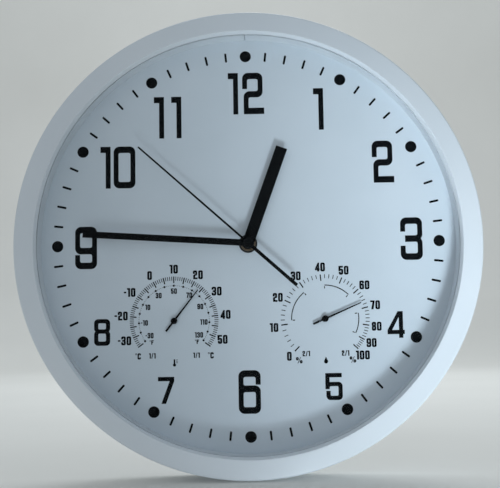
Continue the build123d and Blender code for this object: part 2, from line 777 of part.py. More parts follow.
# Hour, minute and second hands, each pressed on its own pipe
hour_hand_front = hour_hand_rear + hand_thickness
hour_blade = clockwise(hour_angle, hand_outline(hour_hand_length, hour_hand_width, hour_hand_width))
hour_hand = slab(hour_blade, hour_hand_rear, hour_hand_front)
hour_hand += disc(hour_boss_radius, hour_boss_rear, hour_hand_front)
save("hour_hand", hour_hand - disc(hour_pipe_radius, hour_boss_rear, hour_hand_front))
minute_hand_front = minute_hand_rear + hand_thickness
minute_blade = clockwise(minute_angle, hand_outline(minute_hand_length, minute_hand_width, minute_hand_width))
minute_hand = slab(minute_blade, minute_hand_rear, minute_hand_front)
minute_hand += disc(minute_boss_radius, minute_boss_rear, minute_hand_front)
save("minute_hand", minute_hand - disc(minute_pipe_radius, minute_boss_rear, minute_hand_front))
second_hand_front = second_hand_rear + second_hand_thickness
second_outline = hand_outline(second_hand_length, second_hand_root_width, second_hand_tip_width)
second_outline += Rot(0, 0, 180) * hand_outline(second_tail_length, second_tail_width, second_tail_width)
second_hand = slab(clockwise(second_angle, second_outline), second_hand_rear, second_hand_front)
second_hand += disc(second_hub_radius, second_hub_rear, second_hand_front)
save("second_hand", second_hand - disc(arbor_radius, second_hub_rear, second_hand_front))
cap = disc(cap_radius, second_hand_front, cap_top)
cap = fillet(cap.faces().sort_by(Axis.Y)[0].edges(), cap_round)
save("second_hand_cap", cap - disc(arbor_radius, second_hand_front, arbor_top))


def gauge_spiral(at):
    """A flat strip wound outwards from the arbor's collet."""
    steps = coil_turns * coil_points_per_turn
    edges = []
    for offset in (0, coil_strip):
        points = []
        for step in range(steps + 1):
            radius = collet_radius + offset + (coil_outer_radius - collet_radius) * step / steps
            points.append(place(radius, 360 * step / coil_points_per_turn))
        edges.append(Spline(*points))
    ends = [Line(edges[0] @ 0, edges[1] @ 0), Line(edges[0] @ 1, edges[1] @ 1)]
    return slab(Pos(*at) * make_face(edges + ends), coil_rear, coil_front)


def gauge(name, at, angle):
    """Vented cup glued behind the back plate, coil, arbor and pointer of one instrument."""
    cup = disc(cup_radius, cup_rear, plate_rear, at)
    cup += disc(cup_radius + cup_flange, plate_rear - cup_flange_thickness, plate_rear, at)
    cup -= disc(cup_radius - cup_wall, cup_rear + cup_wall, plate_rear, at)
    cup += disc(cup_bearing_radius, cup_rear, cup_bearing_front, at)
    cup -= disc(gauge_arbor_radius + running_play, cup_rear + cup_wall / 2, cup_bearing_front, at)
    for step in range(vent_count):
        spot = place(vent_circle_radius, 360 * (step + 1 / 2) / vent_count, at)
        cup -= disc(vent_radius, cup_rear, cup_rear + cup_wall, spot)
    post_reach = coil_outer_radius + coil_strip + coil_post_radius
    cup += disc(coil_post_radius, cup_rear, coil_front, place(post_reach, 0, at))
    save(name + "_cup", cup)
    save(name + "_coil", gauge_spiral(at))
    arbor = disc(gauge_arbor_radius, cup_rear + cup_wall, pointer_hub_top - pointer_thickness, at)
    save(name + "_arbor", arbor + disc(collet_radius, coil_rear, coil_front, at))
    outline = hand_outline(pointer_length, pointer_width, pointer_width / 2)
    outline += Rot(0, 0, 180) * hand_outline(pointer_tail, pointer_width, pointer_width)
    blade = slab(Pos(*at) * clockwise(angle, outline), pointer_rear, pointer_rear + pointer_thickness)
    pointer = blade + disc(pointer_hub_radius, pointer_hub_rear, pointer_hub_top, at)
    pointer -= disc(gauge_arbor_radius, pointer_hub_rear, pointer_hub_top - pointer_thickness, at)
    save(name + "_pointer", pointer)


gauge("thermometer", gauge_places[0], thermometer_angle)
gauge("hygrometer", gauge_places[1], hygrometer_angle)
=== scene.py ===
from collections import namedtuple
from math import asin, cos, degrees, pi, radians, sin, tan

import bmesh
import bpy
from mathutils import Matrix, Vector


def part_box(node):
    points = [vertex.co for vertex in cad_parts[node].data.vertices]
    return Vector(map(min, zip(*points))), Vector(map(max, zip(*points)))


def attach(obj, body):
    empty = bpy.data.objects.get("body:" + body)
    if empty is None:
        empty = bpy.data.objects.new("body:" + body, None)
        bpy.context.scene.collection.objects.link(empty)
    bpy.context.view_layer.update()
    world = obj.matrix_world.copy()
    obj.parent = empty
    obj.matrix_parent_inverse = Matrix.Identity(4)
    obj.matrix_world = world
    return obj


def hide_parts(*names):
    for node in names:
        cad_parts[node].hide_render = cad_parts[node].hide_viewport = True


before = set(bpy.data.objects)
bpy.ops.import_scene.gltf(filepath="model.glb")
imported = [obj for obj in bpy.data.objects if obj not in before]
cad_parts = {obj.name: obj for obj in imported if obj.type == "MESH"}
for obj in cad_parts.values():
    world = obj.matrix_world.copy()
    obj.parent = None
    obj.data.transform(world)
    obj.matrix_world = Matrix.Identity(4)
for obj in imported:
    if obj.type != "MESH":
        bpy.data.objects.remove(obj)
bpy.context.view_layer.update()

# Back plate
# A ribbed disc of white polystyrene that carries the dial in front and the movement behind.
# It is injection moulded, so its rear has a satin grain and the round marks of the ejector pins.
mm = 0.001
plate_low, plate_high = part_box("back_plate")
arbor = Vector(((plate_low.x + plate_high.x) / 2, 0, (plate_low.z + plate_high.z) / 2))
# Pieces are drawn in millimetres as seen from the front: across, up, and out from the wall.
clock_face = Matrix.Translation(arbor) @ Matrix.Rotation(radians(90), 4, "X") @ Matrix.Scale(mm, 4)


def heights(node):
    """Distances of a node's rear and front from the wall, in millimetres."""
    low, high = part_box(node)
    return -high.y / mm, -low.y / mm


def paint(red, green, blue):
    """A colour given as on a screen, from 0 to 255."""
    shares = [channel / 255 for channel in (red, green, blue)]
    return [share / 12.92 if share < 0.0405 else ((share + 0.055) / 1.055) ** 2.4 for share in shares] + [1]


def effect(name, inputs, outputs):
    """An empty shader node group: its tree, its inputs and its outputs."""
    tree = bpy.data.node_groups.new(name, "ShaderNodeTree")
    for label, kind in inputs:
        tree.interface.new_socket(label, in_out="INPUT", socket_type=kind)
    for label in outputs:
        tree.interface.new_socket(label, in_out="OUTPUT", socket_type="NodeSocketFloat")
    return tree, tree.nodes.new("NodeGroupInput"), tree.nodes.new("NodeGroupOutput")


grain_effect, given, result = effect(
    "surface_grain",
    [("Place", "NodeSocketVector"), ("Grain Scale", "NodeSocketFloat"), ("Cloud Scale", "NodeSocketFloat")],
    ["Grain", "Cloud"],
)
for label, detail in (("Grain", 3), ("Cloud", 5)):
    noise = grain_effect.nodes.new("ShaderNodeTexNoise")
    noise.inputs["Detail"].default_value = detail
    grain_effect.links.new(given.outputs["Place"], noise.inputs["Vector"])
    grain_effect.links.new(given.outputs[label + " Scale"], noise.inputs["Scale"])
    spread = grain_effect.nodes.new("ShaderNodeMapRange")
    spread.inputs["From Min"].default_value = 0.3
    spread.inputs["From Max"].default_value = 0.7
    grain_effect.links.new(noise.outputs["Fac"], spread.inputs["Value"])
    grain_effect.links.new(spread.outputs["Result"], result.inputs[label])


def grained(material, gloss, grain, cloud, stretch=(1, 1, 1)):
    """Places the grain in a material, lets its clouds shift the roughness, and returns the group."""
    nodes, links = material.node_tree.nodes, material.node_tree.links
    place = nodes.new("ShaderNodeTexCoord")
    drawn = nodes.new("ShaderNodeMapping")
    drawn.inputs["Scale"].default_value = stretch
    links.new(place.outputs["Object"], drawn.inputs["Vector"])
    surface = nodes.new("ShaderNodeGroup")
    surface.node_tree = grain_effect
    surface.inputs["Grain Scale"].default_value = grain
    surface.inputs["Cloud Scale"].default_value = cloud
    links.new(drawn.outputs["Vector"], surface.inputs["Place"])
    sheen = nodes.new("ShaderNodeMapRange")
    sheen.inputs["To Min"].default_value = gloss[0]
    sheen.inputs["To Max"].default_value = gloss[1]
    links.new(surface.outputs["Cloud"], sheen.inputs["Value"])
    links.new(sheen.outputs["Result"], nodes["Principled BSDF"].inputs["Roughness"])
    return surface


def finish(
    name, colour, shade, gloss, grain, depth, cloud=14, stretch=(1, 1, 1), metallic=0, coat=0, specular=0.5
):
    """A surface whose colour and gloss drift between two values over a fine bumpy grain.

    gloss is the lowest and highest roughness, and grain and cloud count lumps to the metre.
    depth is that of the grain, in millimetres.
    """
    material = bpy.data.materials.new(name)
    material.use_nodes = True
    nodes, links = material.node_tree.nodes, material.node_tree.links
    shader = nodes["Principled BSDF"]
    shader.inputs["Metallic"].default_value = metallic
    shader.inputs["Coat Weight"].default_value = coat
    shader.inputs["Specular IOR Level"].default_value = specular
    surface = grained(material, gloss, grain, cloud, stretch)
    # A colour mix has its two colours on inputs 6 and 7, and its result on output 2.
    tint = nodes.new("ShaderNodeMix")
    tint.data_type = "RGBA"
    tint.inputs[6].default_value = paint(*colour)
    tint.inputs[7].default_value = paint(*shade)
    links.new(surface.outputs["Cloud"], tint.inputs[0])
    links.new(tint.outputs[2], shader.inputs["Base Color"])
    bump = nodes.new("ShaderNodeBump")
    bump.inputs["Strength"].default_value = 0.6
    bump.inputs["Distance"].default_value = depth * mm
    links.new(surface.outputs["Grain"], bump.inputs["Height"])
    links.new(bump.outputs["Normal"], shader.inputs["Normal"])
    return material


def dress(material, *nodes):
    """Gives carried-over nodes their finish."""
    for node in nodes:
        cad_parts[node].data.materials.clear()
        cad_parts[node].data.materials.append(material)


def piece(name, parts, materials, body, replaced=(), sharp=35):
    """Joins part meshes, drawn on the clock face, into one piece that rides a body."""
    joined = bmesh.new()
    for number, part in enumerate(parts):
        before = len(joined.faces)
        joined.from_mesh(part)
        joined.faces.ensure_lookup_table()
        for face in joined.faces[before:]:
            face.material_index = min(number, len(materials) - 1)
        bpy.data.meshes.remove(part)
    joined.transform(clock_face)
    mesh = bpy.data.meshes.new(name)
    joined.to_mesh(mesh)
    joined.free()
    mesh.shade_smooth()
    mesh.set_sharp_from_angle(angle=radians(sharp))
    made = bpy.data.objects.new(name, mesh)
    bpy.context.scene.collection.objects.link(made)
    for material in materials:
        mesh.materials.append(material)
    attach(made, body)
    if replaced:
        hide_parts(*replaced)


def on_ring(centre, radius, angle):
    """A place on a circle, at an angle clockwise from the top in degrees."""
    turn = radians(angle)
    return Vector((centre[0] + radius * sin(turn), centre[1] + radius * cos(turn)))


def circle(radius, at=(0, 0), steps=48):
    return [on_ring(at, radius, 360 * step / steps) for step in range(steps)]


def flat_mesh(curve):
    """Turns a filled curve into a mesh and forgets the curve."""
    holder = bpy.data.objects.new("outline", curve)
    bpy.context.scene.collection.objects.link(holder)
    seen = holder.evaluated_get(bpy.context.evaluated_depsgraph_get())
    mesh = bpy.data.meshes.new_from_object(seen)
    bpy.data.objects.remove(holder)
    bpy.data.curves.remove(curve)
    return mesh


def sheet(loops, rear, front, edge=0):
    """A flat part cut to closed loops, the inner ones as holes, with its edges eased."""
    curve = bpy.data.curves.new("outline", "CURVE")
    curve.dimensions = "2D"
    curve.fill_mode = "BOTH"
    curve.extrude = (front - rear) / 2 - edge
    curve.bevel_depth = edge
    curve.bevel_resolution = 2
    curve.offset = -edge
    for loop in loops:
        spline = curve.splines.new("POLY")
        spline.points.add(len(loop) - 1)
        for point, spot in zip(spline.points, loop):
            point.co = (spot[0], spot[1], 0, 1)
        spline.use_cyclic_u = True
    mesh = flat_mesh(curve)
    mesh.transform(Matrix.Translation((0, 0, (rear + front) / 2)))
    return mesh


rear_white = finish(
    "back_plate_plastic", (221, 226, 230), (211, 217, 222), (0.42, 0.55), grain=2600, depth=0.02, cloud=9
)
dress(rear_white, "back_plate")
rib_height = 3.0
plate_rear = heights("back_plate")[0] + rib_height
pin_mark_radius = 3.2
pin_mark_bore = 2.752
pin_mark_height = 0.12
pin_mark_circles = ((62, 8, 11), (112, 12, 4))
pin_marks = []
for reach, count, start in pin_mark_circles:
    for number in range(count):
        spot = on_ring((0, 0), reach, start + 360 * number / count)
        pin_marks += [circle(pin_mark_radius, spot), circle(pin_mark_bore, spot)]
marks = sheet(pin_marks, plate_rear - pin_mark_height, plate_rear)
piece("ejector_pin_marks", [marks], [rear_white], "case")

# Movement case
# A black housing, its rear cover and the plate between them, all moulded in acetal and snapped together.
# The cover's rear carries raised signs: which way the knob sets the hands, and the poles of the cell.
case_black = finish(
    "movement_plastic", (30, 32, 34), (22, 24, 26), (0.38, 0.52), grain=3200, depth=0.025, cloud=60
)
dress(case_black, "movement_housing", "movement_rear_cover", "middle_plate")
sign_width = 0.7


def middle(node):
    """Place of a node's middle across the clock face, in millimetres from the arbor."""
    low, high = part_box(node)
    spot = (low + high) / 2 - arbor
    return spot.x / mm, spot.z / mm


def arc_band(radius, width, start, end, at, step=3):
    """Outline of a band along part of a circle, with angles clockwise from the top."""
    count = max(2, round(abs(end - start) / step))
    angles = [start + (end - start) * number / count for number in range(count + 1)]
    outer = [on_ring(at, radius + width / 2, angle) for angle in angles]
    inner = [on_ring(at, radius - width / 2, angle) for angle in angles]
    return outer + inner[::-1]


def bar(length, width, at):
    left, right = at[0] - length / 2, at[0] + length / 2
    low, high = at[1] - width / 2, at[1] + width / 2
    return [(left, low), (right, low), (right, high), (left, high)]


def cross(reach, half_width, at):
    """Outline of an upright cross with four equal arms."""
    quarter = [(half_width, reach), (half_width, half_width), (reach, half_width)]
    right = quarter + [(across, -up) for across, up in quarter[::-1]]
    whole = right + [(-across, up) for across, up in right[::-1]]
    return [Vector((at[0] + across, at[1] + up)) for across, up in whole]


cover_rear = heights("movement_rear_cover")[0]
knob_spot = middle("set_knob")
arrow_reach = 7.4
arrow_start = 40
arrow_end = 120
arrow_half = 1.5
arrow_tip = 2.4
cover_signs = []
for side in (-1, 1):
    cover_signs.append(arc_band(arrow_reach, sign_width, side * arrow_start, side * arrow_end, knob_spot))
    turn = radians(side * arrow_end)
    along = Vector((cos(turn), -sin(turn))) * side
    out = Vector((sin(turn), cos(turn)))
    foot = Vector(knob_spot) + out * arrow_reach
    cover_signs.append([foot - out * arrow_half, foot + along * arrow_tip, foot + out * arrow_half])
cell_across = [(corner.x - arbor.x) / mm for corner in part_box("battery")]
sign_rise = 2.6
sign_height = 0.25
sign_up = (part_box("movement_rear_cover")[0].z - arbor.z) / mm + sign_rise
pole_inset = 4.0
pole_size = 3.4
cover_signs.append(bar(pole_size, sign_width, (cell_across[0] + pole_inset, sign_up)))
cover_signs.append(cross(pole_size / 2, sign_width / 2, (cell_across[1] - pole_inset, sign_up)))
signs = sheet(cover_signs, cover_rear - sign_height, cover_rear)
piece("cover_signs", [signs], [case_black], "case")

# Centre bush, gasket, washer and nut
# The threaded brass bush comes through the dial, and a slotted round nut clamps it.
# A black fibre washer lies under the nut and a rubber ring behind the plate. The brass is coloured darker and
# greyer than bright brass, as painted shade and dark reflection for where it sits at the hub.
# Painted shade: both brass colours are darkened and greyed to stand for the shade and dark reflections at the
# hub.
brass = finish(
    "turned_brass", (154, 138, 116), (118, 104, 86), (0.3, 0.46), grain=1800, depth=0.01, cloud=400,
    stretch=(1, 14, 1), metallic=1,
)
rubber = finish("gasket_rubber", (34, 34, 35), (26, 26, 27), (0.7, 0.85), grain=4200, depth=0.03)
dress(brass, "centre_bush", "bush_nut")
dress(case_black, "bush_washer")
dress(rubber, "bush_gasket")

# Stepping motor
# A magnet rotor turns between the arms of a soft iron stator; the coil on the bobbin drives it.
# The winding is enamelled copper wire, laid turn by turn along the bobbin.
soft_iron = finish(
    "rolled_iron", (128, 130, 132), (104, 106, 109), (0.34, 0.5), grain=1500, depth=0.012, cloud=220,
    stretch=(12, 1, 1), metallic=1,
)
dark_magnet = finish(
    "sintered_magnet", (74, 76, 80), (56, 58, 62), (0.42, 0.6), grain=5200, depth=0.02, metallic=0.6
)
bobbin_white = finish(
    "bobbin_nylon", (222, 220, 208), (208, 205, 190), (0.35, 0.5), grain=2800, depth=0.015
)
copper = finish(
    "enamelled_copper", (176, 92, 46), (146, 70, 34), (0.22, 0.36), grain=2400, depth=0.008, cloud=300,
    metallic=1,
)
dress(soft_iron, "stator", "coil_core")
dress(dark_magnet, "rotor_magnet")
dress(bobbin_white, "coil_bobbin")
winding_low, winding_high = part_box("coil_winding")
winding_radius = (winding_high.x - winding_low.x) / 2 / mm
winding_bore = 2.45
winding_length = (winding_high.z - winding_low.z) / mm
wire_pitch = 0.5
wire_depth = 0.16
wire_steps = 6
ring_count = round(winding_length / wire_pitch) * wire_steps
around_count = 40
turns = [2 * pi * step / around_count for step in range(around_count)]
winding = bmesh.new()
rows = []
for ring in range(ring_count + 1):
    along = winding_length * (ring / ring_count - 1 / 2)
    row = []
    for turn in turns:
        reach = winding_radius - wire_depth * (1 - abs(cos(pi * along / wire_pitch + turn / 2)))
        row.append(winding.verts.new((reach * cos(turn), along, reach * sin(turn))))
    rows.append(row)
for along in (winding_length / 2, -winding_length / 2):
    bore = [(winding_bore * cos(turn), along, winding_bore * sin(turn)) for turn in turns]
    rows.append([winding.verts.new(spot) for spot in bore])
for lower, upper in zip(rows, rows[1:] + rows[:1]):
    for step in range(around_count):
        after = (step + 1) % around_count
        winding.faces.new((lower[step], upper[step], upper[after], lower[after]))
bmesh.ops.recalc_face_normals(winding, faces=winding.faces)
winding_spot = middle("coil_winding")
winding.transform(Matrix.Translation((*winding_spot, sum(heights("coil_winding")) / 2)))
turns_mesh = bpy.data.meshes.new("turns")
winding.to_mesh(turns_mesh)
winding.free()
piece("wound_coil", [turns_mesh], [copper], "case", ["coil_winding"], sharp=80)

# Circuit board
# A strip of laminate under green varnish, on two posts of the housing.
# It carries the crystal's steel can, and the chip under a drop of black resin.
laminate = finish(
    "board_laminate", (66, 122, 84), (52, 104, 70), (0.3, 0.45), grain=2200, depth=0.015, cloud=180
)
steel = finish(
    "zinc_plated_steel", (186, 190, 194), (160, 165, 170), (0.24, 0.42), grain=1600, depth=0.01, cloud=160,
    stretch=(1, 1, 9), metallic=1,
)
resin = finish("chip_resin", (20, 20, 22), (14, 14, 16), (0.2, 0.34), grain=900, depth=0.02, coat=0.3)
dress(laminate, "circuit_board")
dress(steel, "quartz_crystal")
dress(resin, "control_chip")

# Cell and its contacts
# A dry cell of the common finger size: a steel can in a shrunk sleeve whose ends curl over the rims.
# Sprung strips of plated steel press on its poles.
dress(steel, "contact_plus", "contact_minus")


def rounded(corners, arc_steps=6):
    """Points of a closed outline whose corners are (across, up) or (across, up, radius)."""
    points = []
    for number, corner in enumerate(corners):
        here = Vector(corner[:2])
        if len(corner) == 2:
            points.append(here)
            continue
        back = (Vector(corners[number - 1][:2]) - here).normalized()
        ahead = (Vector(corners[(number + 1) % len(corners)][:2]) - here).normalized()
        half_angle = back.angle(ahead) / 2
        centre = here + (back + ahead).normalized() * corner[2] / sin(half_angle)
        first = here + back * corner[2] / tan(half_angle) - centre
        last = here + ahead * corner[2] / tan(half_angle) - centre
        for step in range(arc_steps + 1):
            points.append(centre + first.lerp(last, step / arc_steps).normalized() * corner[2])
    return points


def turned(profile, at=(0, 0), steps=64):
    """A closed outline of (radius, height) points spun about an axis that stands out from the wall."""
    spun = bmesh.new()
    columns = []
    for step in range(steps):
        turn = 2 * pi * step / steps
        across, up = sin(turn), cos(turn)
        spots = [(at[0] + radius * across, at[1] + radius * up, height) for radius, height in profile]
        columns.append([spun.verts.new(spot) for spot in spots])
    for column, after in zip(columns, columns[1:] + columns[:1]):
        for number in range(len(profile)):
            ahead = (number + 1) % len(profile)
            spun.faces.new((column[number], column[ahead], after[ahead], after[number]))
    bmesh.ops.remove_doubles(spun, verts=spun.verts, dist=0.001)
    bmesh.ops.dissolve_degenerate(spun, edges=spun.edges, dist=0.001)
    bmesh.ops.recalc_face_normals(spun, faces=spun.faces)
    mesh = bpy.data.meshes.new("turned")
    spun.to_mesh(mesh)
    spun.free()
    return mesh


cell_low, cell_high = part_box("battery")
cell_radius = (cell_high.z - cell_low.z) / 2 / mm
cell_half = (cell_high.x - cell_low.x) / 2 / mm
nub_length = 1.2
nub_radius = 2.7
sleeve_lip = 1.1
sleeve_skin = 0.15
lip_round = 0.1
curl_round = 0.6
curl_depth = 0.35
band_share = 0.36
base_inset = 0.2
base_round = 0.15
base_flat = cell_radius - 1.6
base_slope = 0.3
rim_inset = 0.5
nub_foot = 0.9
nub_sink = 0.1
nub_round = 0.4
can_radius = cell_radius - 2 * sleeve_skin
shoulder = cell_half - nub_length
band_start = shoulder - 2 * cell_half * band_share
can = rounded(
    [
        (0, -cell_half + base_inset),
        (base_flat, -cell_half + base_inset, base_round),
        (base_flat + base_slope, -cell_half + rim_inset),
        (can_radius, -cell_half + rim_inset),
        (can_radius, shoulder - rim_inset),
        (nub_radius + nub_foot, shoulder - rim_inset),
        (nub_radius, shoulder - nub_sink),
        (nub_radius, cell_half, nub_round),
        (0, cell_half),
    ]
)


def sleeve(end, side):
    """One colour of the sleeve, from the seam of the two to the rim that its end curls over."""
    inner = cell_radius - sleeve_skin
    lip = cell_radius - sleeve_lip
    curl = end - side * curl_depth
    return [
        (inner, band_start), (cell_radius, band_start), (cell_radius, end, curl_round), (lip, end, lip_round),
        (lip, curl), (inner, curl),
    ]


cell_parts = [
    turned(can, steps=48),
    turned(rounded(sleeve(-cell_half, -1)), steps=48),
    turned(rounded(sleeve(shoulder, 1)), steps=48),
]
cell_place = Matrix.Translation((*middle("battery"), sum(heights("battery")) / 2))
lie_down = cell_place @ Matrix.Rotation(radians(90), 4, "Y")
for part in cell_parts:
    part.transform(lie_down)
sleeve_dark = finish(
    "sleeve_dark", (38, 42, 46), (30, 34, 38), (0.2, 0.32), grain=700, depth=0.01, cloud=90, coat=0.4
)
sleeve_gold = finish(
    "sleeve_gold", (186, 128, 66), (168, 112, 54), (0.24, 0.36), grain=700, depth=0.01, cloud=90,
    metallic=0.8, coat=0.4,
)
piece("dry_cell", cell_parts, [steel, sleeve_dark, sleeve_gold], "case", ["battery"])

# Wheel train
# Wheels and pinions with involute teeth, moulded in acetal.
# Their arbors run in the cover, the middle plate and the housing.
wheel_white = finish(
    "wheel_acetal", (228, 228, 222), (214, 214, 206), (0.3, 0.44), grain=2600, depth=0.012, cloud=120
)
wheel_amber = finish(
    "pinion_acetal", (206, 178, 120), (190, 160, 104), (0.3, 0.44), grain=2600, depth=0.012, cloud=120
)
dress(wheel_white, "fifth_wheel", "seconds_wheel", "third_wheel", "minute_wheel", "hour_wheel")
dress(wheel_amber, "rotor_pinion", "centre_wheel")

# Setting knob
# A grooved knob behind the cover, moulded in the same black acetal.
# The small gear on its shaft meshes with the minute wheel.
dress(case_black, "set_knob")

# Thermometer and hygrometer works
# Each is a vented white cup glued behind the plate, with a flat coil that winds as heat or damp bends it.
# The coil is fixed to a post at its outer end and turns a brass arbor at its inner end.
cup_white = finish(
    "gauge_cup_plastic", (215, 219, 222), (203, 208, 212), (0.4, 0.55), grain=2600, depth=0.02, cloud=40
)
bimetal = finish(
    "bimetal_strip", (176, 164, 140), (150, 128, 96), (0.28, 0.44), grain=1500, depth=0.008, cloud=240,
    stretch=(1, 8, 1), metallic=1,
)
collet_radius = 2.0
coil_turns = 5
coil_strip = 0.35
coil_steps = 40 * coil_turns
collet_gap = 0.06
for gauge in ("thermometer", "hygrometer"):
    dress(cup_white, gauge + "_cup")
    dress(brass, gauge + "_arbor")
    coil_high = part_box(gauge + "_coil")[1]
    coil_outer = (coil_high.x - arbor.x) / mm - middle(gauge + "_arbor")[0] - coil_strip
    strip_edges = []
    for offset in (collet_gap, coil_strip):
        edge = []
        for step in range(coil_steps + 1):
            turn = 2 * pi * coil_turns * step / coil_steps
            reach = collet_radius + offset + (coil_outer - collet_radius) * step / coil_steps
            edge.append(Vector(middle(gauge + "_arbor")) + Vector((cos(turn), sin(turn))) * reach)
        strip_edges.append(edge)
    strip = sheet([strip_edges[0] + strip_edges[1][::-1]], *heights(gauge + "_coil"))
    piece(gauge + "_spiral", [strip], [bimetal], "case", [gauge + "_coil"])

# Dial
# A sheet of white card, satin varnished, that lies on the plate under the spacer strip.
# Everything on it is screen printed in one black ink.
dial_white = finish(
    "dial_card", (211, 221, 230), (204, 215, 224), (0.5, 0.62), grain=3800, depth=0.006, cloud=18
)
dress(dial_white, "dial")
ink = finish(
    "black_ink", (11, 15, 18), (7, 10, 13), (0.4, 0.55), grain=3000, depth=0.004, cloud=120, specular=0.05
)
ink_film = 0.05
dial_front = heights("dial")[1]
ink_front = dial_front + ink_film

# Minute marks
# Twelve dots for the hours and forty-eight short strokes with round ends.
# All are printed in black on one ring.
mark_ring = 123.7
dot_radius = 3.68
stroke_length = 6.1
stroke_width = 1.4
stroke_round = 0.588


def swung(points, angle, at=(0, 0)):
    """An outline turned clockwise by degrees about its own zero, then moved."""
    turn = radians(angle)
    across, down = cos(turn), sin(turn)
    spots = [(p[0] * across + p[1] * down, p[1] * across - p[0] * down) for p in points]
    return [Vector((at[0] + spot[0], at[1] + spot[1])) for spot in spots]


def stroke(inner, outer, width, end_radius=0):
    """A straight printed stroke that points at the middle, drawn at the top."""
    ends = [(-width / 2, inner), (width / 2, inner), (width / 2, outer), (-width / 2, outer)]
    return rounded([(*end, end_radius) for end in ends]) if end_radius else [Vector(end) for end in ends]


def printed(name, loops):
    """Prints closed loops on the dial as one film of ink."""
    piece(name, [sheet(loops, dial_front, ink_front)], [ink], "case")


minute_marks = []
for minute in range(60):
    angle = minute * 6
    if minute % 5 == 0:
        minute_marks.append(swung(circle(dot_radius, (0, mark_ring)), angle))
    else:
        inner, outer = mark_ring - stroke_length / 2, mark_ring + stroke_length / 2
        minute_marks.append(swung(stroke(inner, outer, stroke_width, stroke_round), angle))
printed("minute_marks", minute_marks)

# Hour numerals
# Upright square figures with round corners, printed in black.
# Four, five, seven and eight are smaller, to clear the gauges.
Style = namedtuple("Style", "wide tall post beam bend nook")
tall_style = Style(14.2, 27.6, 3.2, 4.2, 3.8, 1.2)
short_style = Style(11.0, 17.1, 2.7, 2.7, 2.6, 0.8)


def box_loop(left, low, right, high, radius):
    return [(left, low, radius), (right, low, radius), (right, high, radius), (left, high, radius)]


def mirrored(loop, width, height):
    """An outline turned half round."""
    return [(width - corner[0], height - corner[1], *corner[2:]) for corner in loop]


def zero(style):
    wide, tall, post, beam, bend, nook = style
    return wide, [box_loop(0, 0, wide, tall, bend), box_loop(post, beam, wide - post, tall - beam, nook)]


def one(style):
    wide, tall, post, beam = style[:4]
    width = post + wide * 0.24
    flag = tall - beam * 0.95
    stem = width - post
    return width, [[(0, tall), (0, flag), (stem, flag), (stem, 0), (width, 0), (width, tall)]]


def two(style):
    wide, tall, post, beam, bend, nook = style
    right, left, upper, lower, hook = wide * 0.94, wide * 0.06, tall * 0.555, tall * 0.405, tall * 0.61
    outline = [
        (0, hook), (0, tall, bend), (right, tall, bend), (right, lower, bend), (left + post, lower, nook),
        (left + post, beam), (wide, beam), (wide, 0), (left, 0), (left, upper, bend),
        (right - post, upper, nook), (right - post, tall - beam, nook), (post, tall - beam, nook),
        (post, hook),
    ]
    return wide, [outline]


def three(style):
    wide, tall, post, beam, bend, nook = style
    mid, start, notch, hook, waist = tall / 2, wide * 0.21, wide * 0.07, tall * 0.667, tall * 0.072
    upper = [
        (start, mid + beam / 2), (wide - post, mid + beam / 2, nook), (wide - post, tall - beam, nook),
        (post, tall - beam, nook), (post, hook), (0, hook), (0, tall, bend), (wide, tall, bend),
        (wide, mid + waist, waist), (wide - notch, mid),
    ]
    return wide, [upper + [(corner[0], tall - corner[1], *corner[2:]) for corner in upper[-2::-1]]]


def four(style):
    wide, tall, post, beam = style[:4]
    right, foot, crown = wide * 0.91, tall * 0.14, wide * 0.61
    stem, arm_top = right - post, foot + beam
    outline = [
        (0, foot), (stem, foot), (stem, 0), (right, 0), (right, foot), (wide, foot), (wide, arm_top),
        (right, arm_top), (right, tall), (crown, tall), (0, arm_top),
    ]
    return wide, [outline, [(post * 1.08, arm_top), (stem, arm_top), (stem, tall * 0.78)]]


def five(style):
    wide, tall, post, beam, bend, nook = style
    left, hip, shelf, hook = wide * 0.05, tall * 0.67, tall * 0.405, tall * 0.34
    outline = [
        (0, tall), (wide * 0.96, tall), (wide * 0.96, tall - beam), (post, tall - beam), (post, hip),
        (wide, hip, bend), (wide, 0, bend), (left, 0, bend), (left, hook), (left + post, hook),
        (left + post, beam, nook), (wide - post, beam, nook), (wide - post, hip - beam, nook),
        (post, hip - beam, nook), (post, shelf), (0, shelf),
    ]
    return wide, [outline]


def six(style):
    wide, tall, post, beam, bend, nook = style
    top, hook = tall * 0.65, tall * 0.667
    outline = [
        (0, 0, bend), (wide, 0, bend), (wide, top, bend), (post, top, nook), (post, tall - beam, nook),
        (wide - post, tall - beam, nook), (wide - post, hook), (wide, hook), (wide, tall, bend),
        (0, tall, bend),
    ]
    return wide, [outline, box_loop(post, beam, wide - post, top - beam, nook)]


def seven(style):
    wide, tall, post, beam = style[:4]
    width, foot = wide * 0.95, wide * 0.19
    outline = [
        (0, tall), (width, tall), (width, tall - beam), (foot + post * 1.1, 0), (foot, 0),
        (width - post * 1.1, tall - beam), (0, tall - beam),
    ]
    return width, [outline]


def eight(style):
    wide, tall, post, beam, bend, nook = style
    width, mid, notch, waist = wide * 0.94, tall * 0.535, wide * 0.07, beam / 2
    right_side = [
        (width, 0, bend), (width, mid - waist, waist), (width - notch, mid), (width, mid + waist, waist),
        (width, tall, bend),
    ]
    outline = right_side + [(width - corner[0], *corner[1:]) for corner in right_side[::-1]]
    lower = box_loop(post, beam, width - post, mid - waist, nook)
    return width, [outline, lower, box_loop(post, mid + waist, width - post, tall - beam, nook)]


def nine(style):
    width, loops = six(style)
    return width, [mirrored(loop, width, style.tall) for loop in loops]


def placed(loops, across, up):
    return [[point + Vector((across, up)) for point in rounded(loop)] for loop in loops]


